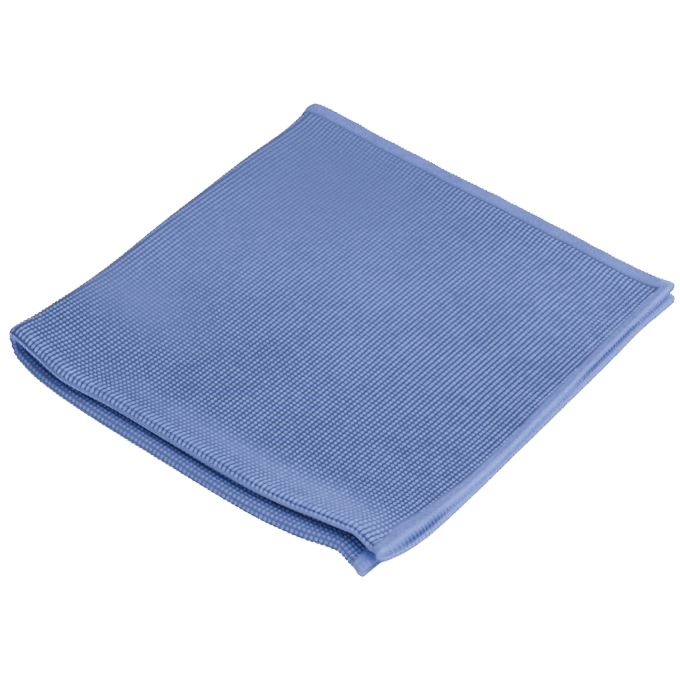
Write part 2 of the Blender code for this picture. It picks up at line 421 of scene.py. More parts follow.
    def half_gaps(self, u: Array, v: Array) -> tuple[Array, Array, Array]:
        """Half of the distances between the layers at flat points.

        Args:
            u: Ways across the second fold.
            v: Ways across the first fold.

        Returns:
            The radius of the first fold's roll, and half of the distances in a pair and between the pairs.
        """
        hem = self.hem_share(self.hem_distance(u, v))
        behind_roll = smooth_step(self.roll_crest, self.roll_crest + self.roll_length, np.abs(v))
        behind_wrap = smooth_step(self.wrap_crest, self.wrap_crest + self.wrap_length, np.abs(u))
        radius = blend(self.pair_roll, self.pair_hem, self.hem_share(self.half_width - np.abs(u)))
        pair = blend(radius, blend(self.pair_field, self.pair_hem, hem), behind_roll)
        stack = blend(self.stack_wrap, blend(self.stack_field, self.stack_hem, hem), behind_wrap)
        return radius, pair, stack

    def fold(self, u: Array, v: Array) -> Array:
        """Carry points of the flat cloth to their places in the folded stack.

        Args:
            u: Ways across the second fold.
            v: Ways across the first fold.

        Returns:
            The middle of the sheet at each point, one row of three millimetre values for each.
        """
        radius, pair, stack = self.half_gaps(u, v)
        wrap_radius = stack + pair
        first = np.clip(v / radius, -QUARTER_TURN, QUARTER_TURN)
        second = np.clip(u / wrap_radius, -QUARTER_TURN, QUARTER_TURN)
        own_radius = stack + pair * (1.0 + np.sin(first))
        roll_reach = radius * (1.0 - np.cos(first)) + np.maximum(np.abs(v) - radius * QUARTER_TURN, 0.0)
        wrap_reach = stack + 2.0 * pair - own_radius * np.cos(second)
        wrap_reach += np.maximum(np.abs(u) - wrap_radius * QUARTER_TURN, 0.0)

        outer = 0.5 * (1.0 + np.sin(first))
        upper = 0.5 * (1.0 + np.sin(second))
        across = wrap_reach / (self.half_width - wrap_radius * QUARTER_TURN + stack + 2.0 * pair)
        along = roll_reach / (self.half_length - radius * QUARTER_TURN + radius)
        lower_wrap = table_value(SIDES, "wrap_lower", along)
        left = blend(lower_wrap, table_value(SIDES, "wrap_upper", along), upper * upper)
        lower_roll = table_value(FRONT_ROLLS, "lower", across)
        front = blend(lower_roll, table_value(FRONT_ROLLS, "upper", across), upper)
        x = blend(left, self.layer_line(SIDES, along, outer, upper), across)
        y = blend(front, self.layer_line(BACK_HEMS, across, outer, upper), along)

        stack_height = 2.0 * (2.0 * self.pair_field + self.stack_field)
        height = 2.0 * pair + stack + own_radius * np.sin(second)
        height += soft_rise(STACK_FORMS, x, y) * np.clip(height / stack_height, 0.0, 1.0)
        lip_lift = table_value(FRONT_ROLLS, "lift", across) * hump(roll_reach, 0.0, self.lift_length)
        height += (lip_lift + soft_rise(PAIR_LIFTS, x, y)) * upper
        z = self.solid_thickness(u, v) / 2.0 + height
        wave = self.hem_wave(u, v) * np.clip(height / stack_height, 0.0, 1.0)
        places = np.stack([x - self.middle_x, y - self.middle_y, z], axis=-1)
        return places + wave[:, None] * np.array(self.wave_ways)

    def hem_wave(self, u: Array, v: Array) -> Array:
        """Small unevenness of the hems, which fades into the field.

        Args:
            u: Ways across the second fold.
            v: Ways across the first fold.

        Returns:
            How far each point is moved.
        """
        share = 1.0 - smooth_step(self.hem_width, self.hem_width + self.hem_blend, self.hem_distance(u, v))
        along = u * self.wave_lean[0] + v * self.wave_lean[1] + self.wave_shift * np.sign(u)
        waves = sum(wave.height * np.sin(along / wave.length + wave.start) for wave in HEM_WAVES)
        return self.hem_waviness * share * waves

    def place(self, u: Array, v: Array) -> Placement:
        """Fold points and give the sheet's directions there.

        Args:
            u: Ways across the second fold.
            v: Ways across the first fold.

        Returns:
            The middle of the sheet, the way out of its outer face, and the way of rising v.
        """
        across = self.fold(u + self.probe, v) - self.fold(u - self.probe, v)
        along = self.fold(u, v + self.probe) - self.fold(u, v - self.probe)
        return Placement(self.fold(u, v) * MM, unit(np.cross(across, along)), unit(along))

    def flat_map(self, u: Array, v: Array) -> Array:
        """Map coordinates from 0 to 1 across the flat cloth."""
        return np.stack([u / (2.0 * self.half_width) + 0.5, v / (2.0 * self.half_length) + 0.5], axis=-1)


class Wire:
    """What a node puts out. Its sums, differences, products and quotients become Math nodes."""

    def __init__(self, sketch: NodeSketch, socket: bpy.types.NodeSocket) -> None:
        """Keep the socket and the sketch that it is in."""
        self.sketch = sketch
        self.socket = socket

    def __add__(self, other: SocketValue) -> Wire:
        """Add a number or a wire."""
        return self.sketch.math("ADD", self, other)

    def __sub__(self, other: SocketValue) -> Wire:
        """Take a number or a wire away."""
        return self.sketch.math("SUBTRACT", self, other)

    def __rsub__(self, other: SocketValue) -> Wire:
        """Take this away from a number."""
        return self.sketch.math("SUBTRACT", other, self)

    def __mul__(self, other: SocketValue) -> Wire:
        """Multiply by a number or a wire."""
        return self.sketch.math("MULTIPLY", self, other)

    def __truediv__(self, other: SocketValue) -> Wire:
        """Divide by a number or a wire."""
        return self.sketch.math("DIVIDE", self, other)


class NodeSketch:
    """A node tree while its nodes are laid down."""

    def __init__(self, tree: bpy.types.NodeTree) -> None:
        """Keep the tree that the nodes go into."""
        self.tree = tree

    def fill(self, node: bpy.types.Node, inputs: Inputs) -> None:
        """Give a node's inputs what they take.

        Args:
            node: The node.
            inputs: Another node's output, or a value, by the input's name or number.
        """
        for key, value in inputs.items():
            source = value.socket if isinstance(value, Wire) else value
            if isinstance(source, bpy.types.NodeSocket):
                self.tree.links.new(source, node.inputs[key])
            else:
                node.inputs[key].default_value = source

    def add(self, kind: str, inputs: Inputs, **settings: object) -> bpy.types.NodeOutputs:
        """Add a node.

        Args:
            kind: The node's type.
            inputs: What its inputs take.
            **settings: The node's own options.

        Returns:
            The node's outputs.
        """
        node = self.tree.nodes.new(kind)
        for name, value in settings.items():
            setattr(node, name, value)
        self.fill(node, inputs)
        return node.outputs

    def wire(self, kind: str, inputs: Inputs, out: str | int = 0, **settings: object) -> Wire:
        """Add a node and give one of its outputs.

        Args:
            kind: The node's type.
            inputs: What its inputs take.
            out: The output's name or number.
            **settings: The node's own options.

        Returns:
            The output.
        """
        return Wire(self, self.add(kind, inputs, **settings)[out])

    def given(self) -> dict[str, Wire]:
        """Give the inputs of the tree itself by name."""
        return {socket.name: Wire(self, socket) for socket in self.add("NodeGroupInput", {})}

    def math(self, operation: str, first: SocketValue, second: SocketValue = 0.0) -> Wire:
        """Add a Math node and give its result."""
        return self.wire("ShaderNodeMath", {0: first, 1: second}, operation=operation)

    def vector(self, x: SocketValue, y: SocketValue, z: SocketValue) -> Wire:
        """Join three numbers to a vector."""
        return self.wire("ShaderNodeCombineXYZ", {0: x, 1: y, 2: z})

    def parts(self, vector: SocketValue) -> list[Wire]:
        """Part a vector into its three numbers."""
        return [Wire(self, socket) for socket in self.add("ShaderNodeSeparateXYZ", {0: vector})]

    def mix(self, share: Wire, first: SocketValue, second: SocketValue) -> Wire:
        """Mix two colours by a share that changes over the surface."""
        ends = [(*value, 1.0) if isinstance(value, tuple) else value for value in (first, second)]
        return self.wire("ShaderNodeMix", {0: share, 6: ends[0], 7: ends[1]}, 2, data_type="RGBA")

    def painted(self, name: str) -> Wire:
        """Read a number that the mesh stores under a name, in a material."""
        return self.wire("ShaderNodeAttribute", {}, "Fac", attribute_name=name)

    def stored(self, name: str) -> Wire:
        """Read a vector that the mesh stores under a name, in Geometry Nodes."""
        return self.wire("GeometryNodeInputNamedAttribute", {"Name": name}, data_type="FLOAT_VECTOR")

    def store(self, geometry: Wire, name: str, value: Wire, kind: str, domain: str) -> Wire:
        """Store a value on a geometry under a name.

        Args:
            geometry: The geometry.
            name: The name.
            value: The value.
            kind: The value's data type.
            domain: What each value belongs to.

        Returns:
            The geometry with the values.
        """
        inputs = {"Geometry": geometry, "Name": name, "Value": value}
        return self.wire("GeometryNodeStoreNamedAttribute", inputs, data_type=kind, domain=domain)

    def random(self, low: float, high: float, seed: Wire) -> Wire:
        """Give each point a number between two others."""
        return self.wire("FunctionNodeRandomValue", {2: low, 3: high, 8: seed}, 1, data_type="FLOAT")

    def uneven(self, given: dict[str, Wire], draw: float) -> Wire:
        """Give each point a factor near 1, by the tree's Unevenness and by the number of the draw."""
        return self.random(-1.0, 1.0, given["Seed"] + draw) * given["Unevenness"] + 1.0

    def rotation(self, primary: SocketValue, secondary: SocketValue, axes: str, turn: Wire) -> Wire:
        """Point two axes of an instance in two directions and turn it by angles of its own.

        Args:
            primary: The direction of the first axis.
            secondary: The direction that the second axis leans to.
            axes: The letters of the two axes.
            turn: The angles.

        Returns:
            The rotation.
        """
        aims = {"Primary Axis": primary, "Secondary Axis": secondary}
        aimed = self.wire("FunctionNodeAxesToRotation", aims, primary_axis=axes[0], secondary_axis=axes[1])
        turned = {"Rotation": aimed, "Rotate By": turn}
        return self.wire("FunctionNodeRotateRotation", turned, rotation_space="LOCAL")

    def finish(self, instances: Wire, material: Wire) -> bpy.types.NodeTree:
        """End a Geometry Nodes tree in one smooth mesh with its material.

        Args:
            instances: The instances that it has placed.
            material: Their material.

        Returns:
            The tree.
        """
        realized = self.wire("GeometryNodeRealizeInstances", {"Geometry": instances})
        smooth = self.wire("GeometryNodeSetShadeSmooth", {"Geometry": realized})
        dressed = self.wire("GeometryNodeSetMaterial", {"Geometry": smooth, "Material": material})
        self.add("NodeGroupOutput", {"Geometry": dressed})
        return self.tree


def open_socket(tree: bpy.types.NodeTree, name: str, kind: str, way: str = "INPUT") -> None:
    """Give a tree a named input or output, its type without the words that all socket types start with."""
    tree.interface.new_socket(name=name, in_out=way, socket_type=f"NodeSocket{kind}")


def growing_tree(name: str, values: Values) -> NodeSketch:
    """Start a Geometry Nodes tree with a named input for each of its values.

    Args:
        name: The tree's name.
        values: The inputs' values, which are lengths, shares, counts and a material.

    Returns:
        A sketch of the tree.
    """
    tree = bpy.data.node_groups.new(name, "GeometryNodeTree")
    open_socket(tree, "Geometry", "Geometry")
    for key, value in values.items():
        open_socket(tree, key, {float: "Float", int: "Int"}.get(type(value), "Material"))
    open_socket(tree, "Geometry", "Geometry", "OUTPUT")
    return NodeSketch(tree)


def run_tree(piece: bpy.types.Object, tree: bpy.types.NodeTree, values: Values) -> bpy.types.Object:
    """Run a Geometry Nodes tree on an object and keep its result as a plain mesh.

    Args:
        piece: The object that carries the tree's input mesh.
        tree: The tree.
        values: The tree's inputs by name.

    Returns:
        The same object with the result as its mesh and no modifier.
    """
    modifier = piece.modifiers.new(tree.name, "NODES")
    modifier.node_group = tree
    for item in tree.interface.items_tree:
        if item.in_out == "INPUT" and item.name in values:
            modifier[item.identifier] = values[item.name]
    depsgraph = bpy.context.evaluated_depsgraph_get()
    result = bpy.data.meshes.new_from_object(piece.evaluated_get(depsgraph), depsgraph=depsgraph)
    carrier = piece.data
    piece.modifiers.remove(modifier)
    piece.data = result
    result.name = piece.name
    bpy.data.meshes.remove(carrier)
    return piece


def link_object(name: str, data: bpy.types.ID) -> bpy.types.Object:
    """Make an object and put it in the scene.

    Args:
        name: The object's name.
        data: Its mesh, lamp or camera.

    Returns:
        The object.
    """
    piece = bpy.data.objects.new(name, data)
    bpy.context.scene.collection.objects.link(piece)
    return piece


def face_mesh(name: str, points: Array, map_points: Array, faces: Array) -> bpy.types.Mesh:
    """Make a smooth mesh with a map.

    Args:
        name: The mesh's name.
        points: Its points in metres.
        map_points: The points' map coordinates.
        faces: The numbers of each face's four points.

    Returns:
        The mesh.
    """
    mesh = bpy.data.meshes.new(name)
    mesh.from_pydata(points.tolist(), [], faces.tolist())
    layer = mesh.uv_layers.new(name=FLAT_MAP)
    layer.data.foreach_set("uv", map_points[faces.reshape(-1)].astype(np.float32).reshape(-1))
    mesh.shade_smooth()
    mesh.update()
    return mesh


def give(mesh: bpy.types.Mesh, name: str, values: Array) -> None:
    """Store a value for each point of a mesh under a name.

    Args:
        mesh: The mesh.
        name: The name.
        values: A number for each point, or a row of three numbers.
    """
    kind, part = ("FLOAT", "value") if values.ndim == 1 else ("FLOAT_VECTOR", "vector")
    store = mesh.attributes.new(name, kind, "POINT")
    store.data.foreach_set(part, values.astype(np.float32).reshape(-1))


class Noise(NamedTuple):
    """A noise of the pile: the group's input for its scale, and its detail and roughness."""

    scale: str
    detail: float
    roughness: float


PILE_NOISES: tuple[Noise, ...] = (Noise("Fibre Scale", 3.0, 0.6), Noise("Mottle Scale", 4.0, 0.55))


def pile_group() -> bpy.types.NodeTree:
    """Make the shader group for the fine split fibres that every part of the cloth shows.

    Returns:
        A group that turns a place into a tone about 0.5 and a height, at a fibre and a mottle scale.
    """
    tree = bpy.data.node_groups.new("Microfibre pile", "ShaderNodeTree")
    open_socket(tree, "Vector", "Vector")
    for name in ("Fibre Scale", "Mottle Scale", "Mottle"):
        open_socket(tree, name, "Float")
    for name in ("Tone", "Height"):
        open_socket(tree, name, "Float", "OUTPUT")
    sketch = NodeSketch(tree)
    given = sketch.given()
    made = []
    for noise in PILE_NOISES:
        inputs = {"Vector": given["Vector"], "Scale": given[noise.scale]}
        inputs.update({"Detail": noise.detail, "Roughness": noise.roughness})
        made.append(sketch.wire("ShaderNodeTexNoise", inputs))
    fibre, mottle = made
    tone = sketch.wire("ShaderNodeMix", {0: given["Mottle"], 2: fibre, 3: mottle}, data_type="FLOAT")
    sketch.add("NodeGroupOutput", {"Tone": tone, "Height": fibre})
    return tree


@dataclass(frozen=True)
class ClothFinish:
    """Colour, bump and sheen of one part of the cloth, from the pile group."""

    name: str
    shade: Colour
    light: Colour
    roughness: float = 0.9
    sheen: float = 0.12
    sheen_roughness: float = 0.5
    specular: float = 0.12
    fibre_scale: float = 2600.0
    mottle_scale: float = 55.0
    mottle: float = 0.35
    tone_span: Span = (0.3, 0.7)
    bump: float = 0.5
    bump_distance: float = 0.12

    def make(self, pile: bpy.types.NodeTree) -> bpy.types.Material:
        """Build the material.

        Args:
            pile: The shader group of the fine fibres.

        Returns:
            The material.
        """
        material = bpy.data.materials.new(self.name)
        material.use_nodes = True
        sketch = NodeSketch(material.node_tree)
        pile_inputs = {
            "Vector": sketch.wire("ShaderNodeTexCoord", {}, "Object"),
            "Fibre Scale": self.fibre_scale,
            "Mottle Scale": self.mottle_scale,
            "Mottle": self.mottle,
        }
        texture = sketch.add("ShaderNodeGroup", pile_inputs, node_tree=pile)
        ramp_inputs = {0: texture["Tone"], 1: self.tone_span[0], 2: self.tone_span[1]}
        ramp = sketch.wire("ShaderNodeMapRange", ramp_inputs)
        bump = {"Strength": self.bump, "Distance": self.bump_distance * MM, "Height": texture["Height"]}
        shader_inputs = {
            "Roughness": self.roughness,
            "Specular IOR Level": self.specular,
            "Sheen Weight": self.sheen,
            "Sheen Roughness": self.sheen_roughness,
            "Base Color": self.add_colour(sketch, ramp),
            "Normal": sketch.wire("ShaderNodeBump", bump),
        }
        sketch.fill(material.node_tree.nodes["Principled BSDF"], shader_inputs)
        return material

    def add_colour(self, sketch: NodeSketch, ramp: Wire) -> Wire:
        """Give the colour over the surface by the pile's tone from 0 to 1."""
        return sketch.mix(ramp, self.shade, self.light)


@dataclass(frozen=True)
class BeadFinish(ClothFinish):
    """The raised beads, each a little lighter or darker at random, with painted shade at their feet that is
    lighter where pressed and with patches of painted shade.
    """

    # painted shade at the beads' feet, and the lighter painted shade where they are pressed flat
    painted_foot_shade: Colour = (0.044, 0.061, 0.175)
    pressed_foot_shade: Colour = (0.098, 0.140, 0.44)
    # the beads' colour under painted shade
    painted_shade_colour: Colour = (0.080, 0.118, 0.385)
    pale: Colour = (0.19, 0.30, 0.95)
    pale_share: float = 0.55

    def add_colour(self, sketch: NodeSketch, ramp: Wire) -> Wire:
        """Give the colour over the beads.

        Args:
            sketch: The material's tree.
            ramp: The pile's tone from 0 to 1.

        Returns:
            The colour.
        """
        plain = super().add_colour(sketch, ramp)
        toned = sketch.mix(sketch.painted("tone") * self.pale_share, plain, self.pale)
        # painted shade over patches of the top, over the lower pair and towards the back
        toned = sketch.mix(sketch.painted("painted_shade"), toned, self.painted_shade_colour)
        # painted shade: each bead darkens towards its foot by the crown height, less where pressed
        painted_foot_shade = sketch.mix(sketch.painted("pressed"), self.painted_foot_shade, self.pressed_foot_shade)
        return sketch.mix(sketch.painted("crown"), painted_foot_shade, toned)


@dataclass(frozen=True)
class GroundFinish(ClothFinish):
    """The sheet under the beads, dark between the ribs partly as painted shade, with paler plain hems, a
    painted highlight on the side hems' crest, and painted shade in the seam and in the edge gap.
    """

    hem_shade: Colour = (0.070, 0.103, 0.345)
    hem_light: Colour = (0.138, 0.198, 0.64)
    # painted highlight on the side hems' crest and on the second layer's strip
    crest_painted_highlight: Colour = (0.185, 0.285, 0.98)
    # painted shade in the seam's groove
    seam_painted_shade: Colour = (0.068, 0.094, 0.30)
    seam_shade_share: float = 0.7
    # painted shade in the gap between the hem layers and at the rim
    gap_painted_shade: Colour = (0.012, 0.022, 0.12)
    # the field with less painted shade, where the beads are pressed
    pressed_ground: Colour = (0.096, 0.136, 0.41)
    gap_shade_swings: float = 220.0
    gap_shade_swing: float = 0.2
    least_crest_highlight: float = 0.45

    def add_colour(self, sketch: NodeSketch, ramp: Wire) -> Wire:
        """Give the colour over the open field, the seams and the hems.

        Args:
            sketch: The material's tree.
            ramp: The pile's tone from 0 to 1.

        Returns:
            The colour.
        """
        # the field's dark colour is partly painted shade between the ribs, lighter where pressed
        field = sketch.mix(sketch.painted("pressed"), super().add_colour(sketch, ramp), self.pressed_ground)
        # painted highlight along the side hems' crest, uneven with the pile
        crest = sketch.painted("crest") * (ramp * (1.0 - self.least_crest_highlight) + self.least_crest_highlight)
        hem = sketch.mix(ramp, self.hem_shade, self.hem_light)
        # painted shade along the seam's groove
        hem = sketch.mix(sketch.painted("seam") * self.seam_shade_share, hem, self.seam_painted_shade)
        hem = sketch.mix(crest, hem, self.crest_painted_highlight)
        # painted shade in the edge gap and at the rim
        hem = sketch.mix(self.add_gap_shade(sketch), hem, self.gap_painted_shade)
        return sketch.mix(sketch.painted("hem"), field, hem)

    def add_gap_shade(self, sketch: NodeSketch) -> Wire:
        """Mask the painted shade in the gap along the cut edge and at the second layer's rim, which comes and
        goes a little with the stitches.

        Args:
            sketch: The material's tree.

        Returns:
            The mask.
        """
        along = sketch.parts(sketch.wire("ShaderNodeUVMap", {}, uv_map=FLAT_MAP))[1]
        swing = sketch.math("SINE", along * (self.gap_shade_swings * 2.0 * math.pi))
        return sketch.painted("edge_gap_shade") * (swing * self.gap_shade_swing + (1.0 - self.gap_shade_swing))


class Grid(NamedTuple):
    """Points of the flat cloth, row by row."""

    u: Array
    v: Array
    columns: int
    rows: int

    def numbers(self) -> Array:
        """The number of each point by its row and its column."""
        return np.arange(self.rows * self.columns).reshape(self.rows, self.columns)

    def faces(self) -> Array:
        """Make faces between neighbouring rows and columns.

        Returns:
            The four points of each face.
        """
        number = self.numbers()
        corners = [number[:-1, :-1], number[:-1, 1:], number[1:, 1:], number[1:, :-1]]
        return np.stack(corners, axis=-1).reshape(-1, 4)

    def shell(self) -> Array:
        """The faces of a closed sheet, whose second side follows its first in the list of points.

        Returns:
            The four points of each face: the first side, the second side and the rim between them.
        """
        number = self.numbers()
        first = self.faces()
        edge = np.concatenate([number[0, :-1], number[:-1, -1], number[-1, :0:-1], number[:0:-1, 0]])
        after = np.roll(edge, -1)
        rim = np.stack([after, edge, edge + number.size, after + number.size], axis=-1)
        return np.concatenate([first, first[:, ::-1] + number.size, rim])


@dataclass(frozen=True)
class GroundSheet:
    """The knit's ground with its four hems, as one closed sheet on the folds."""

    lie: FoldedLie
    ground_half: float = 0.42
    hem_half: float = 1.16
    edge_half: float = 0.5
    rim_power: float = 0.6
    crest: float = 1.9
    crest_half: float = 1.36
    crest_spread: float = 1.05
    # the strength and reach of the painted highlight on the side hems
    crest_highlight_share: float = 0.95
    highlight_strip_spread: float = 2.0
    # painted shade at the second layer's rim
    rim_share: float = 0.55
    rim_spread: float = 0.4
    hollow: float = 5.0
    hollow_depth: float = 0.30
    hollow_spread: float = 1.2
    seam_inset: float = 6.5
    seam_half: float = 0.45
    seam_depth: float = 0.30
    seam_shade_wide: float = 1.3
    hem_lead: float = 0.3
    side_reach: float = 6.0
    # the reach of the painted shade in the edge gap
    least_gap_shade: float = 0.12
    gap_shade_inset: float = 0.4
    gap_shade_spread: float = 1.2
    step_length: float = 1.0
    closing: float = 0.22
    closing_reach: float = 8.0
    roll_smooth: Span = (-3.4, 0.7)
    roll_fade: float = 0.5
    roll_bulge: float = 0.80
    lower_pressed: float = 0.25
    # painted shade over all of the lower pair's beads
    lower_painted_shade: float = 0.60
    turn_spacing: float = 0.45
    crest_spacing: float = 1.3
    field_spacing: float = 3.3
    hem_lines: tuple[float, ...] = (
        10.4, 9.0, 8.2, 7.6, 7.2, 6.85, 6.5, 6.1, 5.6, 4.9, 4.2, 3.5, 3.0, 2.5, 2.0, 1.5, 1.0, 0.55, 0.2, 0.0,
    )

    def half_thickness(self, u: Array, v: Array) -> Array:
        """Half of the ground's thickness at flat points, without the beads.

        Args:
            u: Ways across the second fold.
            v: Ways across the first fold.

        Returns:
            The half thickness at each point.
        """
        measure = self.lie.hem_measure(u, v)
        rim = smooth_step(0.0, self.crest, measure)
        hem = blend(self.edge_half, self.hem_half, rim**self.rim_power)
        hem += (self.crest_half - self.hem_half) * hump(measure, self.crest, self.crest_spread)
        hem -= self.hollow_depth * hump(measure, self.hollow, self.hollow_spread)
        hem -= self.seam_depth * hump(measure, self.seam_inset, self.seam_half)
        field = self.ground_half + self.roll_bulge * self.roll_face(u, v)
        down = smooth_step(self.lie.hem_width, self.lie.hem_width + self.step_length, measure)
        near_roll = hump(v, 0.0, self.closing_reach) * (1.0 - rim)
        return blend(hem, field, down) + self.closing * near_roll

    def form_share(self, forms: tuple[SoftForm, ...], lower: float, u: Array, v: Array) -> Array:
        """Read soft forms of the upper pair at flat points, with one strength all over the lower pair.

        Args:
            forms: The forms.
            lower: The strength on the lower pair.
            u: Ways across the second fold.
            v: Ways across the first fold.

        Returns:
            The strength at each point.
        """
        placed = self.lie.fold(u, v)
        rise = soft_rise(forms, placed[:, 0] + self.lie.middle_x, placed[:, 1] + self.lie.middle_y)
        return blend(lower, rise, self.lie.upper_share(u))

    def pressed(self, u: Array, v: Array) -> Array:
        """How far the beads are pressed wide and flat at flat points, from 0 to 1."""
        forms = self.form_share(PRESSED_FORMS, self.lower_pressed, u, v)
        # the finish reads this to paint less shade on the beads' feet and the ground, also on the upper
        # roll's face
        return np.clip(forms + self.roll_face(u, v), 0.0, 1.0)

    def painted_shade(self, u: Array, v: Array) -> Array:
        """How much painted shade darkens the beads at flat points, from 0 to 1."""
        return self.form_share(PAINTED_SHADE_FORMS, self.lower_painted_shade, u, v)

    def gap(self, u: Array, v: Array) -> Array:
        """How far the top layer's edge curls away from the layer below it, from 0 to 1."""
        curl = np.clip(self.form_share(HEM_GAPS, 0.0, u, v), 0.0, 1.0)
        return curl * smooth_step(0.0, self.lie.fold_fade, v)

    def roll_face(self, u: Array, v: Array) -> Array:
        """Mask the smooth face of the upper roll, where the knit is stretched.

        Args:
            u: Ways across the second fold.
            v: Ways across the first fold.

        Returns:
            1 on the face and 0 elsewhere.
        """
        start, end = self.roll_smooth
        band = smooth_step(start, start + self.roll_fade, v)
        band *= 1.0 - smooth_step(end - self.roll_fade, end, v)
        return band * self.lie.upper_share(u)

    def lines(self, half_size: float, turn: float, crest: float, span: Span) -> Array:
        """Grid positions across a part of the cloth, close in the fold and in the hems.

        Args:
            half_size: Distance from the fold to the cut edge.
            turn: How far the fold's turn reaches.
            crest: How far the raised roll or wrap behind it reaches.
            span: The ends of the part.

        Returns:
            The positions from one end of the part to the other.
        """
        hems = half_size - np.array(self.hem_lines)
        parts = [
            np.linspace(0.0, turn, math.ceil(turn / self.turn_spacing) + 1),
            np.linspace(turn, crest, math.ceil((crest - turn) / self.crest_spacing) + 1)[1:],
            np.linspace(crest, hems[0], math.ceil((hems[0] - crest) / self.field_spacing) + 1)[1:],
            hems[1:],
        ]
        half = np.concatenate(parts)
        whole = np.concatenate([-half[:0:-1], half])
        inside = whole[(whole > span[0] + TINY) & (whole < span[1] - TINY)]
        return np.concatenate([[span[0]], inside, [span[1]]])

    def grid(self, u_span: Span, v_span: Span) -> Grid:
        """Flat grid points inside a rectangle of the cloth.

        Args:
            u_span: Lowest and highest u.
            v_span: Lowest and highest v.

        Returns:
            The grid.
        """
        lie = self.lie
        wrap_turn = (lie.stack_wrap + lie.pair_roll) * QUARTER_TURN
        roll_turn = lie.pair_roll * QUARTER_TURN
        u_lines = self.lines(lie.half_width, wrap_turn, lie.wrap_crest + lie.wrap_length, u_span)
        v_lines = self.lines(lie.half_length, roll_turn, lie.roll_crest + lie.roll_length, v_span)
        u, v = (places.reshape(-1) for places in np.meshgrid(u_lines, v_lines))
        return Grid(lie.spread_hem(u, v), v, len(u_lines), len(v_lines))

    def masks(self, u: Array, v: Array) -> dict[str, Array]:
        """Shares from 0 to 1 that the ground's finish reads on both faces.

        Args:
            u: Ways across the second fold.
            v: Ways across the first fold.

        Returns:
            The share at each point, by the name that the finish reads it under.
        """
        lie = self.lie
        measure = lie.hem_measure(u, v)
        side = lie.upper_share(u) * (lie.half_width - np.abs(u) < self.side_reach)
        # painted shade in the gap under the top layer's side hem, and at the second layer's rim
        gap = np.clip(self.gap(u, v) + self.least_gap_shade, 0.0, 1.0)
        edge_gap_shade = side * gap * hump(measure, self.gap_shade_inset, self.gap_shade_spread)
        rim_shade = self.rim_share * side * (v < 0.0) * hump(measure, 0.0, self.rim_spread)
        # the crest mask is a painted highlight: the second layer's strip at its rim and the top layer's
        # crest, on the right side only
        strip = hump(measure, 0.0, self.highlight_strip_spread)
        crest = hump(measure, self.crest, self.crest_spread)
        outer = smooth_step(-lie.fold_fade, lie.fold_fade, v)
        field = smooth_step(lie.hem_width - self.hem_lead, lie.hem_width + self.step_length, measure)
        return {
            "hem": 1.0 - field,
            # where the finish paints shade in the seam's groove
            "seam": hump(measure, self.seam_inset, self.seam_shade_wide * self.seam_half),
            "edge_gap_shade": np.maximum(edge_gap_shade, rim_shade),
            "crest": self.crest_highlight_share * side * blend(strip, crest, outer),
        }

    def build(self, material: bpy.types.Material) -> bpy.types.Object:
        """Make the sheet with both faces and its rim.

        Args:
            material: Its finish.

        Returns:
            The sheet.
        """
        lie = self.lie
        grid = self.grid((-lie.half_width, lie.half_width), (-lie.half_length, lie.half_length))
        u, v = grid.u, grid.v
        placed = lie.place(*lie.round_corner(u, v))
        raised = placed.outward * self.half_thickness(u, v)[:, None] * MM
        points = np.concatenate([placed.middle + raised, placed.middle - raised])
        mesh = face_mesh("cloth_sheet", points, np.tile(lie.flat_map(u, v), (2, 1)), grid.shell())
        for name, mask in self.masks(u, v).items():
            give(mesh, name, np.tile(mask, 2))
        pressed = self.pressed(u, v)
        give(mesh, "pressed", np.concatenate([pressed, np.zeros_like(pressed)]))
        mesh.materials.append(material)
        return link_object("cloth_sheet", mesh)


class BeadPatch(NamedTuple):
    """A rectangle of the cloth's outer face whose beads are one piece."""

    name: str
    u_span: Span
    v_span: Span


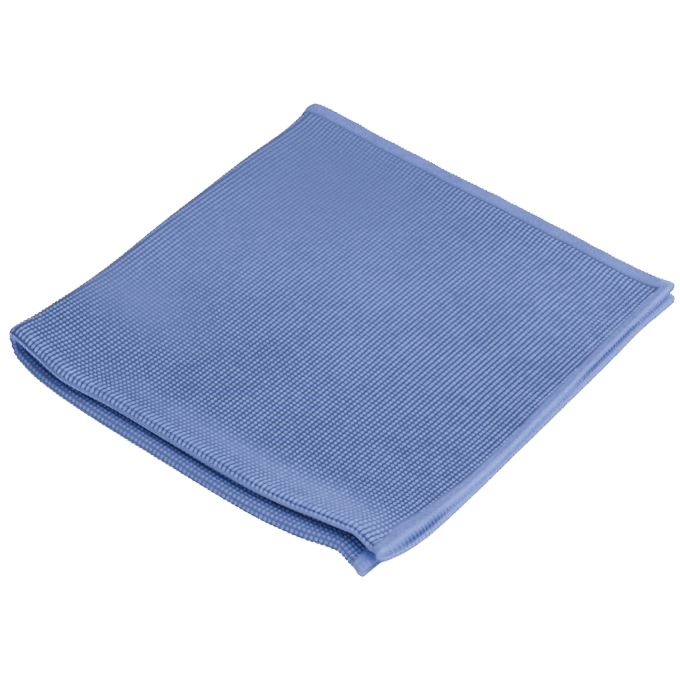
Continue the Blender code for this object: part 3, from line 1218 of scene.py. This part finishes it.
@dataclass(frozen=True)
class PearlKnit:
    """The raised beads of the knit, in ribs, on the outer face of the sheet.

    The slant is in degrees. The turn swing is in radians, for an unevenness of 1.
    """

    sheet: GroundSheet
    rib_pitch: float = 2.14
    bead_pitch: float = 1.84
    rib_lean: float = 0.043
    row_lean: float = -0.0073
    drift: float = 1.6
    drift_scale: float = 11.0
    spare_rows: float = 9.0
    bead_length: float = 1.98
    bead_width: float = 1.84
    bead_height: float = 0.46
    crown_share: float = 0.62
    sink: float = 0.3
    slant: float = -8.0
    turn_swing: float = 1.5
    unevenness: float = 0.10
    pressed_wide: float = 0.24
    pressed_flat: float = 0.75
    joined_long: float = 0.32
    joined_span: Span = (-60.0, 30.0)
    # painted shade on the beads, growing towards the back
    joined_painted_shade: float = 0.16
    lip_long: float = 2.6
    lip_reach: float = 2.6
    face_sink: float = 0.75
    sides: int = 6
    side_margin: float = 6.3
    back_margin: float = 7.2
    fade: float = 1.6
    least_kept: float = 0.35
    wrap_end: float = 6.0
    roll_end: float = 3.0
    lip_end: float = -9.0
    under_end: float = -22.0
    seed: int = 7

    def patches(self) -> tuple[BeadPatch, ...]:
        """Divide the parts of the face that show.

        Returns:
            Patches that meet edge to edge.
        """
        right = self.sheet.lie.half_width - self.side_margin
        back = self.sheet.lie.half_length - self.back_margin
        upper, lower = (self.wrap_end, right), (-right, -self.wrap_end)
        return (
            BeadPatch("beads_top", upper, (self.roll_end, back)),
            BeadPatch("beads_wrap", (-self.wrap_end, self.wrap_end), (self.lip_end, back)),
            BeadPatch("beads_upper_roll", upper, (self.lip_end, self.roll_end)),
            BeadPatch("beads_lower_roll", lower, (self.under_end, self.roll_end)),
            BeadPatch("beads_bottom", lower, (self.roll_end, back)),
        )

    def values(self, material: bpy.types.Material) -> Values:
        """Give the tree's inputs.

        Args:
            material: The beads' finish.

        Returns:
            The inputs by name, with lengths in metres and the slant in radians.
        """
        return {
            "Sheet Width": 2.0 * self.sheet.lie.half_width * MM,
            "Sheet Length": 2.0 * self.sheet.lie.half_length * MM,
            "Rib Pitch": self.rib_pitch * MM,
            "Bead Pitch": self.bead_pitch * MM,
            "Rib Lean": self.rib_lean,
            "Row Lean": self.row_lean,
            "Drift": self.drift * MM,
            "Bead Width": self.bead_width * MM,
            "Bead Length": self.bead_length * MM,
            "Bead Height": self.bead_height * MM,
            "Slant": math.radians(self.slant),
            "Unevenness": self.unevenness,
            "Pressed Wide": self.pressed_wide,
            "Pressed Flat": self.pressed_flat,
            "Joined Long": self.joined_long,
            "Sides": self.sides,
            "Seed": self.seed,
            "Finish": material,
        }

    def tree(self, values: Values) -> bpy.types.NodeTree:
        """Make the Geometry Nodes tree that grows the beads on a patch.

        Args:
            values: The tree's inputs by name.

        Returns:
            The tree.
        """
        sketch = growing_tree("Pearl knit beads", values)
        given = sketch.given()
        points = self.add_lattice(sketch, given)
        bead = self.add_bead(sketch, given)
        return sketch.finish(self.add_beads(sketch, given, points, bead), given["Finish"])

    def add_lattice(self, sketch: NodeSketch, given: dict[str, Wire]) -> Wire:
        """Lay a point for each bead on the flat cloth, with its map coordinates kept under a name.

        Args:
            sketch: The tree.
            given: The tree's inputs.

        Returns:
            The points.
        """
        grid_inputs = {}
        for axis, size, pitch in (("X", "Sheet Width", "Rib Pitch"), ("Y", "Sheet Length", "Bead Pitch")):
            count = sketch.math("CEIL", given[size] / given[pitch]) + self.spare_rows
            grid_inputs[f"Vertices {axis}"] = count
            grid_inputs[f"Size {axis}"] = (count - 1.0) * given[pitch]
        grid = sketch.wire("GeometryNodeMeshGrid", grid_inputs, "Mesh")
        points = sketch.wire("GeometryNodeMeshToPoints", {"Mesh": grid})
        place = sketch.wire("GeometryNodeInputPosition", {})
        noise_inputs = {"Vector": place, "Scale": self.drift_scale, "Detail": 1.0}
        x, y, _ = sketch.parts(place)
        wander_x, wander_y, _ = sketch.parts(sketch.wire("ShaderNodeTexNoise", noise_inputs, "Color"))
        ways = []
        for own, other, wander, lean, size in (
            (x, y, wander_x, "Rib Lean", "Sheet Width"),
            (y, x, wander_y, "Row Lean", "Sheet Length"),
        ):
            way = own + other * given[lean] + (wander - 0.5) * given["Drift"]
            ways.append(way / given[size] + 0.5)
        return sketch.store(points, "lattice", sketch.vector(*ways, 0.0), "FLOAT_VECTOR", "POINT")

    def add_bead(self, sketch: NodeSketch, given: dict[str, Wire]) -> Wire:
        """Make one bead, a dome with a few sides and no underside.

        Args:
            sketch: The tree.
            given: The tree's inputs.

        Returns:
            A dome of radius 1 and height 1 whose rim is a little below 0.
        """
        cone_inputs = {
            "Vertices": given["Sides"],
            "Radius Top": self.crown_share,
            "Radius Bottom": 1.0,
            "Depth": 1.0,
        }
        cone = sketch.add("GeometryNodeMeshCone", cone_inputs, fill_type="TRIANGLE_FAN")
        open_inputs = {"Geometry": cone["Mesh"], "Selection": cone["Bottom"]}
        opened = sketch.wire("GeometryNodeDeleteGeometry", open_inputs, domain="FACE")
        x, y, _ = sketch.parts(sketch.wire("GeometryNodeInputPosition", {}))
        room = sketch.math("MAXIMUM", 1.0 - (x * x + y * y), 0.0)
        rise = sketch.math("SQRT", room) * (1.0 + self.sink) - self.sink
        # the crown height is kept for the finish, which paints shade at the foot of each bead
        crown = sketch.store(opened, "crown", sketch.math("MAXIMUM", rise, 0.0), "FLOAT", "POINT")
        dome_inputs = {"Geometry": crown, "Position": sketch.vector(x, y, rise)}
        return sketch.wire("GeometryNodeSetPosition", dome_inputs)

    def add_beads(self, sketch: NodeSketch, given: dict[str, Wire], points: Wire, bead: Wire) -> Wire:
        """Carry the points to the patch and put a turned, uneven bead on each.

        Args:
            sketch: The tree.
            given: The tree's inputs.
            points: The lattice.
            bead: The bead's mesh.

        Returns:
            The beads, each with its tone, with how far it is pressed and with its share of painted shade.
        """
        sources = {name: sketch.stored(name) for name in ("outward", "along", "form", "painted_shade")}
        sources["place"] = sketch.wire("GeometryNodeInputPosition", {})
        patch_map = sketch.stored(FLAT_MAP)
        lattice = sketch.stored("lattice")
        found = {}
        for name, source in sources.items():
            inputs = {"Mesh": given["Geometry"], "Value": source, "UV Map": patch_map, "Sample UV": lattice}
            found[name] = sketch.add("GeometryNodeSampleUVSurface", inputs, data_type="FLOAT_VECTOR")
        outside = sketch.wire("FunctionNodeBooleanMath", {0: found["place"]["Is Valid"]}, operation="NOT")
        kept_inputs = {"Geometry": points, "Selection": outside}
        kept = sketch.wire("GeometryNodeDeleteGeometry", kept_inputs, domain="POINT")
        carried_inputs = {"Geometry": kept, "Position": found["place"]["Value"]}
        carried = sketch.wire("GeometryNodeSetPosition", carried_inputs)
        swing = sketch.random(-self.turn_swing, self.turn_swing, given["Seed"] + 1.0) * given["Unevenness"]
        turn = sketch.vector(0.0, 0.0, given["Slant"] + swing)
        rotation = sketch.rotation(found["outward"]["Value"], found["along"]["Value"], "ZY", turn)

        pressed, kept_share, joined = sketch.parts(found["form"]["Value"])
        painted_shade = sketch.parts(found["painted_shade"]["Value"])[0]
        sizes = []
        for draw, name, part, change in (
            (2.0, "Bead Width", 0.5, pressed * given["Pressed Wide"] + 1.0),
            (3.0, "Bead Length", 0.5, joined * given["Joined Long"] + 1.0),
            (4.0, "Bead Height", 1.0, (1.0 - pressed * given["Pressed Flat"]) * kept_share),
        ):
            sizes.append(given[name] * part * sketch.uneven(given, draw) * change)
        instance_inputs = {
            "Points": carried,
            "Instance": bead,
            "Rotation": rotation,
            "Scale": sketch.vector(*sizes),
        }
        beads = sketch.wire("GeometryNodeInstanceOnPoints", instance_inputs)
        tone = sketch.random(0.0, 1.0, given["Seed"])
        for name, value in (("tone", tone), ("pressed", pressed), ("painted_shade", painted_shade)):
            beads = sketch.store(beads, name, value, "FLOAT", "INSTANCE")
        return beads

    def build(self, material: bpy.types.Material) -> list[bpy.types.Object]:
        """Grow the beads of each patch.

        Args:
            material: Their finish.

        Returns:
            One piece for each patch.
        """
        values = self.values(material)
        tree = self.tree(values)
        return [run_tree(self.carrier(patch), tree, values) for patch in self.patches()]

    def carrier(self, patch: BeadPatch) -> bpy.types.Object:
        """Make the part of the outer face that a patch's beads stand on.

        Args:
            patch: The patch.

        Returns:
            The part, with what the beads' tree reads at its points.
        """
        lie = self.sheet.lie
        grid = self.sheet.grid(patch.u_span, patch.v_span)
        u, v = grid.u, grid.v
        placed = lie.place(u, v)
        points = placed.middle + placed.outward * self.sheet.half_thickness(u, v)[:, None] * MM
        from_side = (lie.half_width - np.abs(u)) * lie.squeeze(v) - self.side_margin
        from_back = lie.half_length - self.back_margin - np.abs(v)
        kept = blend(self.least_kept, 1.0, smooth_step(0.0, self.fade, np.minimum(from_side, from_back)))
        kept *= 1.0 - self.face_sink * self.sheet.roll_face(u, v)
        joined = smooth_step(*self.joined_span, placed.middle[:, 1] / MM)
        longer = joined + self.lip_long * hump(v, self.lip_reach, self.lip_reach)
        mesh = face_mesh(patch.name, points, lie.flat_map(u, v), grid.faces())
        give(mesh, "outward", placed.outward)
        give(mesh, "along", placed.along)
        give(mesh, "form", np.stack([self.sheet.pressed(u, v), kept, longer], axis=-1))
        # the beads' painted shade: the patches, the lower pair and more towards the back
        give(mesh, "painted_shade", self.sheet.painted_shade(u, v) + self.joined_painted_shade * joined)
        return link_object(patch.name, mesh)


@dataclass(frozen=True)
class EdgeStitches:
    """The overlock thread that wraps round all four cut edges in loops. Its wrap angle is in degrees."""

    sheet: GroundSheet
    pitch: float = 1.8
    reach: float = 1.5
    thread: float = 0.23
    clear_reach: float = 0.6
    clear_rise: float = 0.3
    lean: float = 0.55
    wrap_angle: float = 112.0
    least_gap: float = 0.55
    unevenness: float = 0.12
    steps: int = 7
    sides: int = 5
    seed: int = 11

    def tree(self, values: Values) -> bpy.types.NodeTree:
        """Make the Geometry Nodes tree that sews a loop at each point of the edge.

        Args:
            values: The tree's inputs by name.

        Returns:
            The tree.
        """
        sketch = growing_tree("Edge stitches", values)
        given = sketch.given()
        arc_inputs = {
            "Resolution": given["Steps"],
            "Radius": 1.0,
            "Start Angle": given["Wrap Angle"] * -1.0,
            "Sweep Angle": given["Wrap Angle"] * 2.0,
        }
        arc = sketch.wire("GeometryNodeCurveArc", arc_inputs, mode="RADIUS")
        x, y, _ = sketch.parts(sketch.wire("GeometryNodeInputPosition", {}))
        shaped = sketch.vector(x * given["Reach"], y * given["Rise"], y * given["Lean"])
        loop = sketch.wire("GeometryNodeSetPosition", {"Geometry": arc, "Position": shaped})
        profile_inputs = {"Resolution": given["Sides"], "Radius": given["Thread"]}
        profile = sketch.wire("GeometryNodeCurvePrimitiveCircle", profile_inputs, mode="RADIUS")
        swing = sketch.random(-1.0, 1.0, given["Seed"]) * given["Unevenness"]
        turn = sketch.vector(0.0, swing, 0.0)
        instance_inputs = {
            "Points": sketch.wire("GeometryNodeMeshToPoints", {"Mesh": given["Geometry"]}),
            "Instance": sketch.wire("GeometryNodeCurveToMesh", {"Curve": loop, "Profile Curve": profile}),
            "Rotation": sketch.rotation(sketch.stored("edgeward"), sketch.stored("outward"), "XY", turn),
            "Scale": sketch.vector(sketch.uneven(given, 1.0), 1.0, 1.0),
        }
        return sketch.finish(sketch.wire("GeometryNodeInstanceOnPoints", instance_inputs), given["Finish"])

    def carrier(self) -> bpy.types.Object:
        """Make the line of points round the cloth that the loops are sewn at.

        Returns:
            The points, each with the ways out of the sheet and to its edge. There are none in the hems' gaps.
        """
        lie = self.sheet.lie
        starts = []
        ends = []
        edges = ((lie.half_width, lie.half_length, 1), (lie.half_length, lie.half_width, -1))
        for side in (1.0, -1.0):
            for cut, length, order in edges:
                run = length - lie.corner_radius
                way = np.linspace(-1.0, 1.0, round(2.0 * run / self.pitch)) * run
                for line, inset in ((starts, self.reach), (ends, 0.0)):
                    line.append(np.stack([np.full_like(way, side * (cut - inset)), way], axis=-1)[:, ::order])
        start, end = np.concatenate(starts).T, np.concatenate(ends).T
        sewn = self.sheet.gap(*start) < self.least_gap
        placed, edge = lie.place(*start[:, sewn]), lie.place(*end[:, sewn])
        mesh = bpy.data.meshes.new("edge_stitches")
        mesh.from_pydata(placed.middle.tolist(), [], [])
        give(mesh, "outward", placed.outward)
        give(mesh, "edgeward", unit(edge.middle - placed.middle))
        return link_object("edge_stitches", mesh)

    def build(self, material: bpy.types.Material) -> bpy.types.Object:
        """Sew the loops.

        Args:
            material: Their finish.

        Returns:
            The loops as one piece.
        """
        values = {
            "Reach": (self.reach + self.clear_reach * self.thread) * MM,
            "Rise": (self.sheet.hem_half + self.clear_rise * self.thread) * MM,
            "Thread": self.thread * MM,
            "Lean": self.lean * MM,
            "Wrap Angle": math.radians(self.wrap_angle),
            "Unevenness": self.unevenness,
            "Steps": self.steps,
            "Sides": self.sides,
            "Seed": self.seed,
            "Finish": material,
        }
        return run_tree(self.carrier(), self.tree(values), values)


class Lamp(NamedTuple):
    """A square lamp that faces the cloth, in watts and metres."""

    name: str
    energy: float
    size: float
    place: tuple[float, float, float]


@dataclass(frozen=True)
class Studio:
    """The floor, the lights and the camera around the cloth. The floor's size is in metres.

    The camera looks at its target from a distance, turned by three angles in degrees. Its focal length is in
    pixels of a picture that is as wide as it is high.
    """

    azimuth: float = 39.628
    elevation: float = 43.886
    roll: float = -1.387
    distance: float = 1019.894
    target: tuple[float, float, float] = (1.484, -3.252, 0.0)
    focal: float = 2500.0
    picture: float = 680.0
    sensor: float = 36.0
    far_clip: float = 50000.0
    floor_size: float = 8.0
    floor_drop: float = 0.05
    floor_colour: Colour = (0.93, 0.93, 0.935)
    floor_roughness: float = 0.9
    floor_specular: float = 0.1
    floor_glow: float = 18.0
    world_strength: float = 0.56
    lamps: tuple[Lamp, ...] = (
        Lamp("key", 44.0, 1.0, (0.95, 0.1, 1.40)),
        Lamp("fill", 9.0, 0.8, (0.3, -1.3, 0.42)),
    )

    def build_camera(self) -> None:
        """Stand the camera where the picture was taken from."""
        azimuth, elevation, roll = map(math.radians, (self.azimuth, self.elevation, self.roll))
        level = math.cos(elevation)
        back = Vector((math.sin(azimuth) * level, -math.cos(azimuth) * level, math.sin(elevation)))
        side = Vector((math.cos(azimuth), math.sin(azimuth), 0.0))
        up = back.cross(side)
        side_turned = side * math.cos(roll) + up * math.sin(roll)
        up_turned = up * math.cos(roll) - side * math.sin(roll)
        camera_data = bpy.data.cameras.new("camera")
        camera_data.sensor_width = self.sensor
        camera_data.lens = self.focal * self.sensor / self.picture
        camera_data.clip_end = self.far_clip * MM
        camera = link_object("camera", camera_data)
        place = Vector(self.target) * MM + back * self.distance * MM
        turn = Matrix((side_turned, up_turned, back)).transposed().to_4x4()
        camera.matrix_world = Matrix.Translation(place) @ turn
        bpy.context.scene.camera = camera

    def build_floor(self) -> bpy.types.Object:
        """Lay the plain pale floor, whose white glow only the camera sees.

        Returns:
            The floor.
        """
        half = self.floor_size / 2.0
        mesh = bpy.data.meshes.new("floor")
        corners = [(-half, -half, 0.0), (half, -half, 0.0), (half, half, 0.0), (-half, half, 0.0)]
        mesh.from_pydata(corners, [], [(0, 1, 2, 3)])
        material = bpy.data.materials.new("floor_paper")
        material.use_nodes = True
        sketch = NodeSketch(material.node_tree)
        seen = sketch.wire("ShaderNodeLightPath", {}, "Is Camera Ray")
        shader_inputs = {
            "Base Color": (*self.floor_colour, 1.0),
            "Roughness": self.floor_roughness,
            "Specular IOR Level": self.floor_specular,
            "Emission Color": sketch.mix(seen, BLACK, WHITE),
            "Emission Strength": self.floor_glow,
        }
        sketch.fill(material.node_tree.nodes["Principled BSDF"], shader_inputs)
        mesh.materials.append(material)
        floor = link_object("floor", mesh)
        floor.location.z = -self.floor_drop * MM
        return floor

    def build_lights(self) -> None:
        """Set the soft light of the room and the large soft lamps."""
        world = bpy.data.worlds.new("studio")
        world.use_nodes = True
        background = {"Color": (*WHITE, 1.0), "Strength": self.world_strength}
        NodeSketch(world.node_tree).fill(world.node_tree.nodes["Background"], background)
        bpy.context.scene.world = world
        for lamp in self.lamps:
            lamp_data = bpy.data.lights.new(lamp.name, "AREA")
            lamp_data.energy = lamp.energy
            lamp_data.size = lamp.size
            place = Vector(lamp.place)
            turn = place.to_track_quat("Z", "Y").to_matrix().to_4x4()
            link_object(lamp.name, lamp_data).matrix_world = Matrix.Translation(place) @ turn


def report_piece(piece: bpy.types.Object) -> None:
    """Log a piece's triangles and box.

    Args:
        piece: The piece.
    """
    piece.data.calc_loop_triangles()
    triangles = len(piece.data.loop_triangles)
    points = np.array([corner[:] for corner in piece.bound_box]) / MM
    low, high = points.min(axis=0), points.max(axis=0)
    LOG.info("%s: %d triangles, %s to %s mm", piece.name, triangles, np.round(low, 1), np.round(high, 1))


def main() -> None:
    """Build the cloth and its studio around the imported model."""
    logging.basicConfig(level=logging.INFO, format="%(message)s")
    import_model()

    studio = Studio()
    studio.build_camera()
    studio.build_lights()
    studio.build_floor()

    pile = pile_group()
    # the ground's dark colours stand partly for painted shade between the beads
    ground = GroundFinish(
        "ground_knit",
        (0.026, 0.037, 0.106),
        (0.039, 0.054, 0.146),
        fibre_scale=900.0,
        bump_distance=0.3,
    )
    bead = BeadFinish("pearl_beads", (0.096, 0.147, 0.48), (0.150, 0.237, 0.79), mottle=0.8)
    thread = ClothFinish("overlock_thread", (0.125, 0.175, 0.58), (0.150, 0.215, 0.74))

    sheet = GroundSheet(FoldedLie())
    cloth = sheet.build(ground.make(pile))
    beads = PearlKnit(sheet).build(bead.make(pile))
    stitches = EdgeStitches(sheet).build(thread.make(pile))

    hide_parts(NODE)
    for piece in (cloth, *beads, stitches):
        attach(piece, BODY)
        report_piece(piece)


if __name__ == "__main__":
    main()
